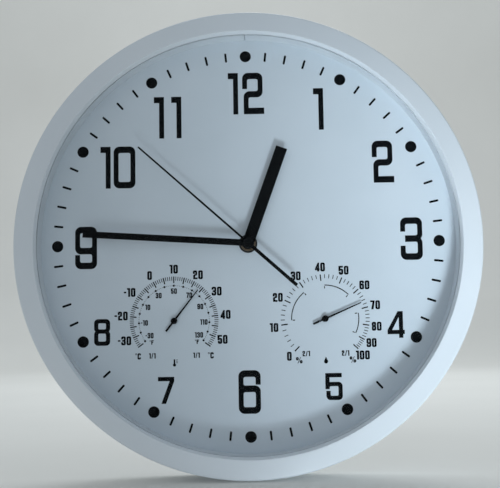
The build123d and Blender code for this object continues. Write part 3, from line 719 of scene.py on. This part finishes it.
numeral_places = (
    (one, tall_style, -8.4, 99.0), (two, tall_style, 4.8, 99.0), (one, tall_style, 47.4, 87.9),
    (two, tall_style, 88.7, 52.3), (three, tall_style, 105.8, 1.6), (four, short_style, 94.3, -53.7),
    (five, short_style, 53.6, -92.6), (six, tall_style, -0.4, -95.3), (seven, short_style, -53.9, -93.5),
    (eight, short_style, -94.9, -55.9), (nine, tall_style, -105.2, -1.1), (one, tall_style, -92.4, 51.3),
    (zero, tall_style, -80.0, 51.3), (one, tall_style, -57.2, 83.8), (one, tall_style, -45.8, 83.8),
)
numeral_loops = []
for figure, style, across, up in numeral_places:
    width, loops = figure(style)
    numeral_loops += placed(loops, across - width / 2, up - style.tall / 2)
printed("hour_numerals", numeral_loops)

# Thermometer scale
# Degrees Celsius on the outer ring and Fahrenheit inside it, printed in the same black.
# Narrow bold figures stand upright round the scale; a small sign of a thermometer stands below.
thermometer_spot = middle("thermometer_arbor")
figure_style = Style(3.0, 5.7, 1.28, 1.14, 1.0, 0.15)
inner_style = Style(1.8, 3.5, 0.76, 0.7, 0.6, 0.12)
unit_style = Style(2.2, 4.0, 0.92, 0.85, 0.8, 0.3)
scale_style = Style(1.6, 2.8, 0.7, 0.65, 0.5, 0.2)
class_style = Style(1.8, 3.4, 0.78, 0.7, 0.5, 0.15)


def minus(style):
    width = style.wide * 0.55
    low = style.tall / 2 - style.beam * 0.45
    return width, [box_loop(0, low, width, low + style.beam * 0.9, style.beam * 0.2)]


def slash(style):
    width = style.wide * 0.75
    foot = style.post * 0.75
    return width, [[(0, 0), (foot, 0), (width, style.tall), (width - foot, style.tall)]]


def degree_sign(style):
    ring = style.tall * 0.15
    lift = style.tall - ring
    return ring * 2, [[(p.x + ring, p.y + lift) for p in circle(r, steps=16)] for r in (ring, ring * 0.5)]


def letter_c(style):
    wide, tall, post, beam, bend, nook = style
    low, high = tall * 0.34, tall * 0.66
    outline = [
        (wide - post, low), (wide - post, beam, nook), (post, beam, nook), (post, tall - beam, nook),
        (wide - post, tall - beam, nook), (wide - post, high), (wide, high), (wide, tall, bend),
        (0, tall, bend), (0, 0, bend), (wide, 0, bend), (wide, low),
    ]
    return wide, [outline]


def letter_f(style):
    wide, tall, post, beam = style[:4]
    arm = tall * 0.42
    outline = [
        (0, 0), (post, 0), (post, arm), (wide * 0.8, arm), (wide * 0.8, arm + beam), (post, arm + beam),
        (post, tall - beam), (wide, tall - beam), (wide, tall), (0, tall),
    ]
    return wide, [outline]


def percent_sign(style):
    wide, tall, post = style[:3]
    width, half = wide * 1.9, tall * 0.52
    loops = [[(width * 0.22, 0), (width * 0.32, 0), (width * 0.78, tall), (width * 0.68, tall)]]
    for left, low in ((0, tall - half), (width - wide * 0.8, 0)):
        right, high = left + wide * 0.8, low + half
        loops.append(box_loop(left, low, right, high, wide * 0.35))
        inset = post * 0.8
        loops.append(box_loop(left + inset, low + inset, right - inset, high - inset, wide * 0.12))
    return width, loops


drawn_signs = dict(zip("0123456789", (zero, one, two, three, four, five, six, seven, eight, nine)))
drawn_signs.update({"-": minus, "/": slash, "°": degree_sign, "%": percent_sign})
drawn_signs.update({"C": letter_c, "F": letter_f})
letter_gap_share = 0.15


def lettering(text, style, at):
    """Outlines of a row of figures and signs, centred on a place."""
    loops = []
    across = 0
    for letter in text:
        width, shapes = drawn_signs[letter](style)
        loops += placed(shapes, across, 0)
        across += width + style.wide * letter_gap_share
    centre = Vector(((across - style.wide * letter_gap_share) / 2, style.tall / 2))
    return [[Vector(at) + point - centre for point in loop] for loop in loops]


def paired(signs, at):
    """Outlines of small signs that stand on both sides below a gauge's middle."""
    loops = []
    for text, style, across, down in signs:
        for side in (-1, 1):
            loops += lettering(text, style, (at[0] + side * across, at[1] - down))
    return loops


def open_circle(radius, gap, at=(0, 0), steps=24):
    """Points round a circle that is open at its top, by so many degrees each way."""
    return [on_ring(at, radius, gap + (360 - 2 * gap) * step / steps) for step in range(steps + 1)]


scale_outer = 28.6
minor_inner = 26.0
major_inner = 24.4
minor_width = 0.47
major_width = 0.75
minor_mark = stroke(minor_inner, scale_outer, minor_width)
major_mark = stroke(major_inner, scale_outer, major_width)
celsius_low = -35
celsius_high = 55
celsius_step = 2.79
celsius_top = 10
figure_ring = 33.4
fahrenheit_low = -30
fahrenheit_high = 130
fahrenheit_step = 1.55
fahrenheit_top = 50
fahrenheit_ring = 22.7
fahrenheit_figures = 19.2
end_figure_lift = 1.5
minus_lean = 1.0
fahrenheit_dot = 0.7
dash_width = 0.34
dash_half_share = 0.2
thermometer_loops = []
for degree in range(celsius_low, celsius_high + 1):
    mark = minor_mark if degree % 5 else major_mark
    thermometer_loops.append(swung(mark, (degree - celsius_top) * celsius_step, thermometer_spot))
for degree in range(fahrenheit_low, fahrenheit_high + 1, 10):
    angle = (degree - fahrenheit_top) * fahrenheit_step
    spot = on_ring(thermometer_spot, fahrenheit_ring, angle)
    thermometer_loops.append(circle(fahrenheit_dot, spot, steps=16))
    if degree < fahrenheit_high:
        for dash in range(1, 5):
            first = angle + 2 * fahrenheit_step * (dash - dash_half_share)
            last = angle + 2 * fahrenheit_step * (dash + dash_half_share)
            thermometer_loops.append(arc_band(fahrenheit_ring, dash_width, first, last, thermometer_spot))
for degree in range(celsius_low + 5, celsius_high, 10):
    spot = on_ring(thermometer_spot, figure_ring, (degree - celsius_top) * celsius_step)
    lean = minus_lean if degree < 0 else 0
    thermometer_loops += lettering(str(degree), figure_style, (spot[0] - lean, spot[1]))
for degree in range(fahrenheit_low, fahrenheit_high + 1, 20):
    spot = on_ring(thermometer_spot, fahrenheit_figures, (degree - fahrenheit_top) * fahrenheit_step)
    lift = end_figure_lift if degree in (fahrenheit_low, fahrenheit_high) else 0
    thermometer_loops += lettering(str(degree), inner_style, (spot[0], spot[1] + lift))
thermometer_signs = (
    ("°F", scale_style, 14.6, 13.6),
    ("°C", unit_style, 23.4, 22.4),
    ("1/1", class_style, 14.2, 22.2),
)
thermometer_loops += paired(thermometer_signs, thermometer_spot)
bulb_radius = 1.0
stem_half = 0.5
stem_top = 3.6
bulb_drop = 28.2
tick_length = 1.1
tick_width = 0.35
tick_reach = 1.6
tick_rise = 1.4
tick_step = 0.9
bulb_spot = (thermometer_spot[0], thermometer_spot[1] - bulb_drop)
neck = degrees(asin(stem_half / bulb_radius))
bulb_sign = open_circle(bulb_radius, neck, bulb_spot)
for side in (-1, 1):
    bulb_sign.append((bulb_spot[0] + side * stem_half, bulb_spot[1] + stem_top))
thermometer_loops.append(bulb_sign)
for number in range(3):
    tick_spot = (bulb_spot[0] + tick_reach, bulb_spot[1] + tick_rise + tick_step * number)
    thermometer_loops.append(bar(tick_length, tick_width, tick_spot))
printed("thermometer_scale", thermometer_loops)

# Hygrometer scale
# Percent of damp in the air, on divisions that close up towards the wet end, printed in the same black.
# Three thin arcs inside the ring mark the dry, middling and damp stretches; a drop stands below.
hygrometer_spot = middle("hygrometer_arbor")
percent_angles = (-136, -97.6, -64.8, -34.3, -5.3, 23.2, 49.3, 75.5, 99.4, 118.8, 133.3)
figure_angles = (-135.3, -99, -65, -33.6, -4.6, 22, 50.4, 75.5, 99.3, 118.3, 135)
zone_ring = 21.6
zone_width = 0.6
zone_tick_start = 2.2
zone_tick_end = 0.7
zones = ((-92, -38), (0, 45), (81, 116))
hygrometer_loops = []
for number, (angle, figure_angle) in enumerate(zip(percent_angles, figure_angles)):
    hygrometer_loops.append(swung(major_mark, angle, hygrometer_spot))
    spot = on_ring(hygrometer_spot, figure_ring, figure_angle)
    hygrometer_loops += lettering(str(number * 10), figure_style, spot)
for angle, after in zip(percent_angles, percent_angles[1:]):
    for division in range(1, 5):
        between = angle + (after - angle) * division / 5
        hygrometer_loops.append(swung(minor_mark, between, hygrometer_spot))
for first, last in zones:
    hygrometer_loops.append(arc_band(zone_ring, zone_width, first, last, hygrometer_spot))
    for angle in (first, last):
        tick = stroke(zone_ring - zone_tick_start, zone_ring - zone_tick_end, zone_width)
        hygrometer_loops.append(swung(tick, angle, hygrometer_spot))
hygrometer_signs = (("%", unit_style, 17.2, 26.4), ("2/1", class_style, 12.6, 22.2))
hygrometer_loops += paired(hygrometer_signs, hygrometer_spot)
drop_radius = 1.3
drop_turn = 55
drop_tip = 3.12
drop_lower = 27.4
drop_spot = (hygrometer_spot[0], hygrometer_spot[1] - drop_lower)
drop = open_circle(drop_radius, drop_turn, drop_spot)
hygrometer_loops.append(drop + [(drop_spot[0], drop_spot[1] + drop_tip)])
printed("hygrometer_scale", hygrometer_loops)

# Gauge pointers
# Each is a tapered needle with a counterweight tail, stamped from thin sheet and lacquered black.
# Its round hub is pressed on the gauge's arbor.
hand_black = finish(
    "black_lacquer", (13, 16, 18), (9, 11, 13), (0.34, 0.48), grain=2800, depth=0.006, cloud=60, specular=0.05
)
pointer_length = 25.3
pointer_tail = 8.5
pointer_half = 0.635
pointer_sheet = 0.4
pointer_lift = 0.7
pointer_edge = 0.08
hub_radius = 2.1
hub_foot_round = 0.2
hub_round = 0.5
hub_dimple = 0.15
dimple_round = 0.1
for gauge, angle in (("thermometer", 38.2), ("hygrometer", 66.7)):
    spot = middle(gauge + "_arbor")
    hub_rear, hub_front = heights(gauge + "_pointer")
    needle = [
        (-pointer_half, -pointer_tail), (pointer_half, -pointer_tail), (pointer_half, 0),
        (pointer_half / 2, pointer_length), (-pointer_half / 2, pointer_length), (-pointer_half, 0),
    ]
    blade_rear = hub_rear + pointer_lift
    blade = sheet([swung(needle, angle, spot)], blade_rear, blade_rear + pointer_sheet, edge=pointer_edge)
    hub_profile = rounded(
        [
            (0, hub_rear), (hub_radius, hub_rear, hub_foot_round), (hub_radius, hub_front, hub_round),
            (hub_radius * 0.55, hub_front, dimple_round), (hub_radius * 0.45, hub_front - hub_dimple),
            (0, hub_front - hub_dimple),
        ]
    )
    hub = turned(hub_profile, spot, steps=40)
    piece(gauge + "_needle", [blade, hub], [hand_black], gauge, [gauge + "_pointer"])

# Hour and minute hands
# Plain square-ended bars, stamped from aluminium sheet and lacquered black.
# Each has a collar that is pushed onto its pipe.
blade_sheet = 0.6
hand_edge = 0.1


def hub_and_bar(length, half_width, hub):
    """Outline of a straight hand whose root runs into a round hub."""
    root = degrees(asin(half_width / hub))
    return [(-half_width, length), (half_width, length)] + open_circle(hub, root, steps=40)


hands = (
    ("hour_hand", "hours", 20.15, 66.2, 3.75, 3.9, 2.2),
    ("minute_hand", "minutes", 273.9, 106.5, 2.1, 3.4, 1.3),
)
for node, body, angle, length, half_width, hub, bore in hands:
    rear, front = heights(node)
    outline = swung(hub_and_bar(length, half_width, hub), angle)
    blade = sheet([outline, circle(bore)], front - blade_sheet, front, edge=hand_edge)
    collar = sheet([circle(hub), circle(bore)], rear, front - blade_sheet + hand_edge)
    piece(node + "_bar", [blade, collar], [hand_black], body, [node])

# Second hand
# A thin tapered needle with a broad counterweight tail, lacquered black.
# It is pushed on the innermost arbor, and a round cap hides its collar.
needle_length = 94.2
needle_root = 0.68
needle_tip = 0.535
tail_length = 41.5
tail_half = 1.1
arbor_bore = 0.45
second_rear, second_front = heights("second_hand")
second_angle = 312.0
second_sheet = 0.4
second_edge = 0.06
second_outline = [
    (-needle_tip, needle_length), (needle_tip, needle_length), (needle_root, 0), (tail_half, 0),
    (tail_half, -tail_length), (-tail_half, -tail_length), (-tail_half, 0), (-needle_root, 0),
]
bore_loop = circle(arbor_bore, steps=24)
blade_loops = [swung(second_outline, second_angle), bore_loop]
blade = sheet(blade_loops, second_front - second_sheet, second_front, edge=second_edge)
collar = sheet([circle(tail_half), bore_loop], second_rear, second_front - second_sheet)
piece("second_needle", [blade, collar], [hand_black], "seconds", ["second_hand"])
cap_rear, cap_front = heights("second_hand_cap")
cap_radius = 3.6
cap_wall = 0.8
cap_fall = 0.1
cap_round = 0.8
cap_dome = 2.0
cap_profile = rounded(
    [
        (arbor_bore, cap_rear), (cap_radius, cap_rear), (cap_radius, cap_front - cap_fall, cap_round),
        (cap_radius / 2, cap_front, cap_dome), (0, cap_front), (0, cap_front - cap_wall),
        (arbor_bore, cap_front - cap_wall),
    ]
)
piece("round_cap", [turned(cap_profile)], [hand_black], "seconds", ["second_hand_cap"])

# Spacer strip
# A white plastic strip, bent round and sprung into the bezel, with a butt seam at twelve.
# It holds the lens off the dial.
strip_white = finish(
    "spacer_plastic", (212, 219, 225), (203, 210, 217), (0.4, 0.52), grain=2200, depth=0.012, cloud=20
)
dress(strip_white, "spacer_strip")

# Lens
# A flat disc of clear glass, held between the case's lip and the spacer strip.
# Its index is set low to keep reflections faint, and light for the dial passes straight through it.
lens_clear = bpy.data.materials.new("clear_glass")
lens_clear.use_nodes = True
lens_nodes, lens_links = lens_clear.node_tree.nodes, lens_clear.node_tree.links
lens_shader = lens_nodes["Principled BSDF"]
lens_shader.inputs["Base Color"].default_value = (1, 1, 1, 1)
lens_shader.inputs["Transmission Weight"].default_value = 1
lens_shader.inputs["IOR"].default_value = 1.1
grained(lens_clear, gloss=(0.01, 0.06), grain=120, cloud=9)
see_through = lens_nodes.new("ShaderNodeBsdfTransparent")
light_path = lens_nodes.new("ShaderNodeLightPath")
unseen = lens_nodes.new("ShaderNodeMath")
unseen.operation = "MAXIMUM"
lens_links.new(light_path.outputs["Is Shadow Ray"], unseen.inputs[0])
lens_links.new(light_path.outputs["Is Diffuse Ray"], unseen.inputs[1])
lens_mix = lens_nodes.new("ShaderNodeMixShader")
lens_links.new(unseen.outputs["Value"], lens_mix.inputs["Fac"])
lens_links.new(lens_shader.outputs["BSDF"], lens_mix.inputs[1])
lens_links.new(see_through.outputs["BSDF"], lens_mix.inputs[2])
lens_links.new(lens_mix.outputs["Shader"], lens_nodes["Material Output"].inputs["Surface"])
dress(lens_clear, "lens")

# Case
# One white ABS moulding: an outer wall, a face that falls away to a soft shoulder, and a lip over the lens.
# Behind the face a skirt holds the lens and dial, and six bosses in the channel take the screws.
case_white = finish(
    "case_abs", (225, 231, 237), (217, 224, 231), (0.34, 0.46), grain=2400, depth=0.012, cloud=10, coat=0.1
)
case_low, case_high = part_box("case_wall")
case_radius = (case_high.x - case_low.x) / 2 / mm
skirt_rear, case_front = heights("bezel")
wall_draft = 0.6
wall = 2.2
face_fall = 3.4
face_crown = 0.15
crown_radius = 230.0
face_thickness = 2.6
channel = 7.8
skirt = 2.2
lip_overlap = 2.6
lip_bevel = 1.5
face_root = 0.9
foot_round = 0.4
shoulder_round = 1.8
lip_front_round = 0.45
lip_back_round = 0.05
face_back_round = 0.5
lens_front = heights("lens")[1]
shoulder_radius = case_radius - wall_draft
channel_outer = shoulder_radius - wall
skirt_outer = channel_outer - channel
skirt_inner = skirt_outer - skirt
lip_back = skirt_inner - lip_overlap
lip_front = lip_back + lip_bevel
shoulder_height = case_front - face_fall
case_profile = rounded(
    [
        (case_radius, 0, foot_round),
        (shoulder_radius, shoulder_height, shoulder_round),
        ((shoulder_radius + lip_front) / 2, case_front - face_fall / 2 + face_crown, crown_radius),
        (lip_front, case_front, lip_front_round),
        (lip_back, lens_front, lip_back_round),
        (skirt_inner, lens_front),
        (skirt_inner, skirt_rear),
        (skirt_outer, skirt_rear),
        (skirt_outer, lens_front - face_root),
        (channel_outer, shoulder_height - face_thickness, face_back_round),
        (case_radius - wall, 0, foot_round),
    ]
)
case_parts = [turned(case_profile, steps=300)]
boss_play = 0.7
boss_radius = channel / 2 - boss_play
boss_height = 13.8
boss_count = 6
boss_start = 60
screw_radius = 1.3
bore_play = 0.02
boss_bore = screw_radius + bore_play
screw_circle = skirt_outer + channel / 2
screw_angles = [boss_start + 360 * number / boss_count for number in range(boss_count)]
screw_spots = [on_ring((0, 0), screw_circle, angle) for angle in screw_angles]
boss_profile = [
    (boss_bore, skirt_rear), (boss_radius, skirt_rear), (boss_radius, skirt_rear + boss_height),
    (boss_bore, skirt_rear + boss_height),
]
for spot in screw_spots:
    case_parts.append(turned(boss_profile, spot, steps=32))
piece("case_shell", case_parts, [case_white], "case", ["case_wall", "bezel"], sharp=50)

# Screws
# Zinc plated self-tapping screws with pan heads and a cross recess, driven from behind.
recess_half = 0.45
recess_depth_share = 0.6
rim_width = 0.36
rim_lap = 0.01
rim_round = 0.35
rim_fall = 0.1
pitch_share = 0.7
root_share = 0.8


def screw(spot, head_radius, head_height, shank_radius, under_head, tip, recess_reach):
    """A pan head with a cross recess, drawn at the top of a threaded shank."""
    crown = under_head - head_height
    floor = crown + head_height * recess_depth_share
    recess = cross(recess_reach, recess_half, spot)
    plate = sheet([circle(head_radius - rim_width + rim_lap, spot), recess], crown, floor)
    rim = rounded(
        [
            (head_radius - rim_width, crown), (head_radius, crown + rim_fall, rim_round),
            (head_radius, floor), (head_radius - rim_width, floor),
        ]
    )
    threads = []
    root = shank_radius * root_share
    pitch = shank_radius * pitch_share
    count = int((tip - under_head) / pitch) - 1
    for number in range(count):
        start = under_head + pitch * number
        threads += [(root, start), (shank_radius, start + pitch / 2)]
    body = [(0, floor), (head_radius, floor), (head_radius, under_head)]
    body += threads + [(root, under_head + pitch * count), (0, tip)]
    return [plate, turned(rim, spot, steps=40), turned(body, spot, steps=32)]


screw_head_radius = 2.8
screw_head_height = 1.8
screw_recess = 1.6
screw_head_rear, screw_tip = heights("case_screws")
under_head = screw_head_rear + screw_head_height
case_screws = []
for spot in screw_spots:
    case_screws += screw(
        spot, screw_head_radius, screw_head_height, screw_radius, under_head, screw_tip, screw_recess
    )
piece("case_screw_set", case_screws, [steel], "case", ["case_screws"])

# Hanger
# A bent strap of plated steel with a keyhole for the wall screw, fixed to the plate by four small screws.
dress(steel, "hanger_bracket")
small_head_radius = 2.4
small_head_height = 1.6
small_radius = 1.2
small_recess = 1.4
hanger_low, hanger_high = [(corner - arbor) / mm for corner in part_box("hanger_screws")]
small_rear, small_tip = heights("hanger_screws")
under_head = small_rear + small_head_height
hanger_screws = []
for across in (hanger_low.x + small_head_radius, hanger_high.x - small_head_radius):
    for up in (hanger_low.z + small_head_radius, hanger_high.z - small_head_radius):
        spot = (across, up)
        hanger_screws += screw(
            spot, small_head_radius, small_head_height, small_radius, under_head, small_tip, small_recess
        )
piece("hanger_screw_set", hanger_screws, [steel], "case", ["hanger_screws"])

# Stage
# A pale floor just under the case that rolls up into a backdrop far behind it.
# It isn't part of the clock.
floor_gap = 0.0004
floor_level = case_low.z - floor_gap
floor_half = 6.0
floor_front = -6.0
cove_start = 1.6
cove_radius = 0.9
backdrop_top = 3.0
cove_steps = 16
stage_line = [(floor_front, floor_level), (cove_start, floor_level)]
for step in range(1, cove_steps + 1):
    turn = radians(90) * step / cove_steps
    stage_line.append((cove_start + cove_radius * sin(turn), floor_level + cove_radius * (1 - cos(turn))))
stage_line.append((cove_start + cove_radius, backdrop_top))
stage_mesh = bpy.data.meshes.new("floor")
stage_points = [(side * floor_half, back, up) for back, up in stage_line for side in (-1, 1)]
stage_faces = [(2 * n, 2 * n + 1, 2 * n + 3, 2 * n + 2) for n in range(len(stage_line) - 1)]
stage_mesh.from_pydata(stage_points, [], stage_faces)
stage_mesh.shade_smooth()
floor = bpy.data.objects.new("floor", stage_mesh)
bpy.context.scene.collection.objects.link(floor)
pale_stage = finish(
    "pale_stage", (232, 229, 223), (227, 224, 218), (0.8, 0.9), grain=300, depth=0.02, cloud=3
)
stage_mesh.materials.append(pale_stage)
floor.visible_shadow = False

# Light
# An even pale room, and one beam from a low window that falls on the clock's right side.
# A faint lamp low on the left stands for the floor's glow; two behind light the rear and the backdrop.
world = bpy.data.worlds.new("room")
bpy.context.scene.world = world
world.use_nodes = True
room = world.node_tree.nodes["Background"]
daylight = (0.85, 0.935, 1.0)
sky_light = (0.8, 0.92, 1.0)
room.inputs["Color"].default_value = (*daylight, 1)
room.inputs["Strength"].default_value = 0.475
dial_middle = arbor + Vector((0, -dial_front * mm, 0))


def lamp(name, away, towards, size, watts, colour=daylight, spread=180):
    """A square soft lamp, placed and aimed by distances from the dial's middle."""
    light = bpy.data.lights.new(name, "AREA")
    light.size = size
    light.energy = watts
    light.color = colour
    light.spread = radians(spread)
    holder = bpy.data.objects.new(name, light)
    holder.location = dial_middle + Vector(away)
    holder.rotation_euler = (Vector(away) - Vector(towards)).to_track_quat("Z", "Y").to_euler()
    holder.visible_camera = False
    bpy.context.scene.collection.objects.link(holder)


lamp("low_window", (0.24, -0.569, -0.675), (0.155, 0, 0.01), 0.24, 0.215, sky_light, spread=21.8)
lamp("floor_glow", (-0.16, -0.26, -0.36), (-0.08, 0, -0.1), 0.2, 0.09)
lamp("rear_window", (0.3, 1.2, 1.0), (0, 0, 0), 0.8, 6)
lamp("backdrop_wash", (0, 1.0, 1.9), (0, 2.4, -0.2), 1.4, 14)

# Camera
# It stands about 65 cm in front of the wall, a little below the clock's middle, and looks slightly up.
camera = bpy.data.cameras.new("camera")
camera.sensor_fit = "HORIZONTAL"
camera.sensor_width = 36.0
camera.lens = 69.84
viewer = bpy.data.objects.new("camera", camera)
viewer.location = Vector((6.96, -651.75, -153.82)) * mm
viewer.rotation_euler = (radians(94.888), radians(0.879), radians(0.596))
bpy.context.scene.collection.objects.link(viewer)
bpy.context.scene.camera = viewer
bpy.context.scene.view_settings.view_transform = "Standard"
